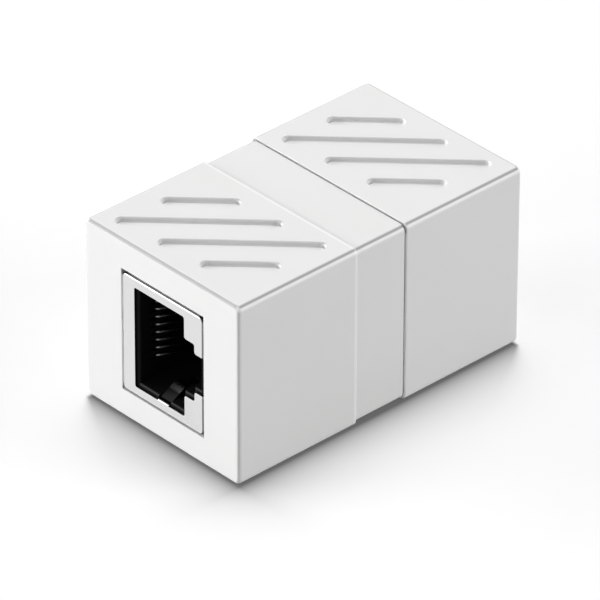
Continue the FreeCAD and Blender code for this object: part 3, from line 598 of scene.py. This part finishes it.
# Painted shadow of the case on the floor beside it, on top of the lamps' own. The distances from its two
# nearest sides are added, and the painted shadow falls off exponentially with their sum. It fades beyond the
# two corners that light comes over.
def contactShadow(tree, place, look):
    parts = addNode(tree, "ShaderNodeSeparateXYZ", {0: place}).outputs
    distances = []
    for value, reach in ((parts["X"], halfWide), (parts["Y"], faceAt)):
        past = maths(tree, "SUBTRACT", maths(tree, "ABSOLUTE", value), reach)
        distances.append(maths(tree, "MAXIMUM", past, 0.0))
    away = maths(tree, "ADD", *distances)
    shade = 0.0
    for reach, taken in look["contactShades"]:
        fall = maths(tree, "EXPONENT", maths(tree, "MULTIPLY", away, -1.0 / reach))
        shade = maths(tree, "MULTIPLY_ADD", fall, taken, shade)
    pastLeft = maths(tree, "ADD", parts["X"], halfWide)
    ahead = maths(tree, "SUBTRACT", -faceAt, parts["Y"])
    pastRear = maths(tree, "SUBTRACT", faceAt, parts["Y"])
    aside = maths(tree, "SUBTRACT", parts["X"], halfWide)
    for inside, out, limits in ((pastLeft, ahead, look["frontFade"]), (pastRear, aside, look["sideFade"])):
        slope = maths(tree, "DIVIDE", inside, maths(tree, "MAXIMUM", out, look["cornerFade"]))
        shade = maths(tree, "MULTIPLY", shade, remap(tree, slope, *limits, smooth=True))
    return shade


# Level sheet at z = 0. The camera sees it lifted to white, with a painted shadow beside the object. Mirrors
# see white.
def makeFloor(look):
    side = np.linspace(-look["reach"], look["reach"], look["rows"])
    x, y = np.meshgrid(side, side, indexing="ij")
    floor = gridMesh("floor", x, y, np.zeros_like(x))
    material, tree, shader, place = startMaterial("paperFloor", look["colour"])
    rays = addNode(tree, "ShaderNodeLightPath").outputs
    # painted shadow beside the case
    shade = contactShadow(tree, place, look)
    seen = mixColour(tree, shade, look["colour"], look["shadow"])
    colour = mixColour(tree, rays["Is Camera Ray"], look["bounce"], seen)
    feed(tree, shader, BaseColor=colour, Roughness=look["roughness"], SpecularIORLevel=0.0)
    light = maths(tree, "SUBTRACT", 1.0, shade)
    strength = product(tree, rays["Is Camera Ray"], light, look["lift"])
    strength = maths(tree, "MULTIPLY_ADD", rays["Is Glossy Ray"], look["mirrorLift"], strength)
    glow = addNode(tree, "ShaderNodeEmission", {"Color": (1.0, 1.0, 1.0, 1.0), "Strength": strength})
    both = addNode(tree, "ShaderNodeAddShader", {0: shader.outputs[0], 1: glow.outputs[0]})
    output = next(node for node in tree.nodes if node.type == "OUTPUT_MATERIAL")
    join(tree, both.outputs[0], output.inputs["Surface"])
    floor.data.materials.append(material)


makeFloor(floorLook)
print("floor laid")

studio = {
    "target": (0.0, 0.0, 11.0 * mm),
    # azimuth 0 is in front of the jack's face (-Y) and 90 at +X; size and distance in metres, power in watts
    "lamps": {
        "keyBehind": {"azimuth": 227.0, "elevation": 70.0, "distance": 1.0, "size": 0.68, "power": 5.78},
        "front": {"azimuth": 0.0, "elevation": 10.0, "distance": 1.0, "size": 0.67, "power": 5.85},
        "leftFront": {"azimuth": -50.0, "elevation": 10.0, "distance": 1.0, "size": 0.67, "power": 10.7},
        "rightBack": {"azimuth": 130.0, "elevation": 15.0, "distance": 1.0, "size": 0.67, "power": 8.24},
    },
}


# Unit vector towards a point at that azimuth, from -Y round to +X, and that elevation.
def direction(azimuth, elevation):
    turn, rise = math.radians(azimuth), math.radians(elevation)
    return Vector((math.sin(turn) * math.cos(rise), -math.cos(turn) * math.cos(rise), math.sin(rise)))


def makeStudio(look):
    for name, lamp in look["lamps"].items():
        light = bpy.data.lights.new(name, "AREA")
        light.shape = "SQUARE"
        light.size = lamp["size"]
        light.energy = lamp["power"]
        holder = bpy.data.objects.new(name, light)
        toward = direction(lamp["azimuth"], lamp["elevation"])
        holder.location = Vector(look["target"]) + toward * lamp["distance"]
        holder.rotation_euler = toward.to_track_quat("Z", "Y").to_euler()
        bpy.context.scene.collection.objects.link(holder)
    world = bpy.data.worlds.new("studio")
    bpy.context.scene.world = world
    world.use_nodes = True
    tree = world.node_tree
    tree.nodes.clear()
    rays = addNode(tree, "ShaderNodeLightPath").outputs
    seen = maths(tree, "MAXIMUM", rays["Is Camera Ray"], rays["Is Glossy Ray"])
    seen = maths(tree, "MAXIMUM", seen, rays["Is Transmission Ray"])
    white = addNode(tree, "ShaderNodeBackground", {"Color": (1.0, 1.0, 1.0, 1.0), "Strength": seen})
    addNode(tree, "ShaderNodeOutputWorld", {"Surface": white.outputs[0]})


makeStudio(studio)

cameraFit = {
    "azimuth": 47.014,
    "elevation": 33.0,
    "roll": 0.202,
    "distance": 828.4 * mm,
    "aside": -0.413 * mm,  # how far the view's centre line passes from the base's middle, across and up
    "above": 7.547 * mm,
    "focalPixels": 7393.4,
    "imagePixels": 600,
    "sensor": 36.0,
    "nearest": 0.01,
    "furthest": 20.0,
}


def makeCamera(fit):
    back = direction(fit["azimuth"], fit["elevation"])
    right = Vector((0.0, 0.0, 1.0)).cross(back).normalized()
    up = back.cross(right)
    turn = math.radians(fit["roll"])
    across = right * math.cos(turn) + up * math.sin(turn)
    upward = up * math.cos(turn) - right * math.sin(turn)
    data = bpy.data.cameras.new("camera")
    data.sensor_width = fit["sensor"]
    data.lens = fit["sensor"] * fit["focalPixels"] / fit["imagePixels"]
    data.clip_start = fit["nearest"]
    data.clip_end = fit["furthest"]
    camera = bpy.data.objects.new("camera", data)
    turned = Matrix((across, upward, back)).transposed()
    spot = across * fit["aside"] + upward * fit["above"] + back * fit["distance"]
    camera.matrix_world = Matrix.Translation(spot) @ turned.to_4x4()
    bpy.context.scene.collection.objects.link(camera)
    bpy.context.scene.camera = camera


makeCamera(cameraFit)
bpy.context.scene.view_settings.view_transform = "Standard"
print("studio and camera set")
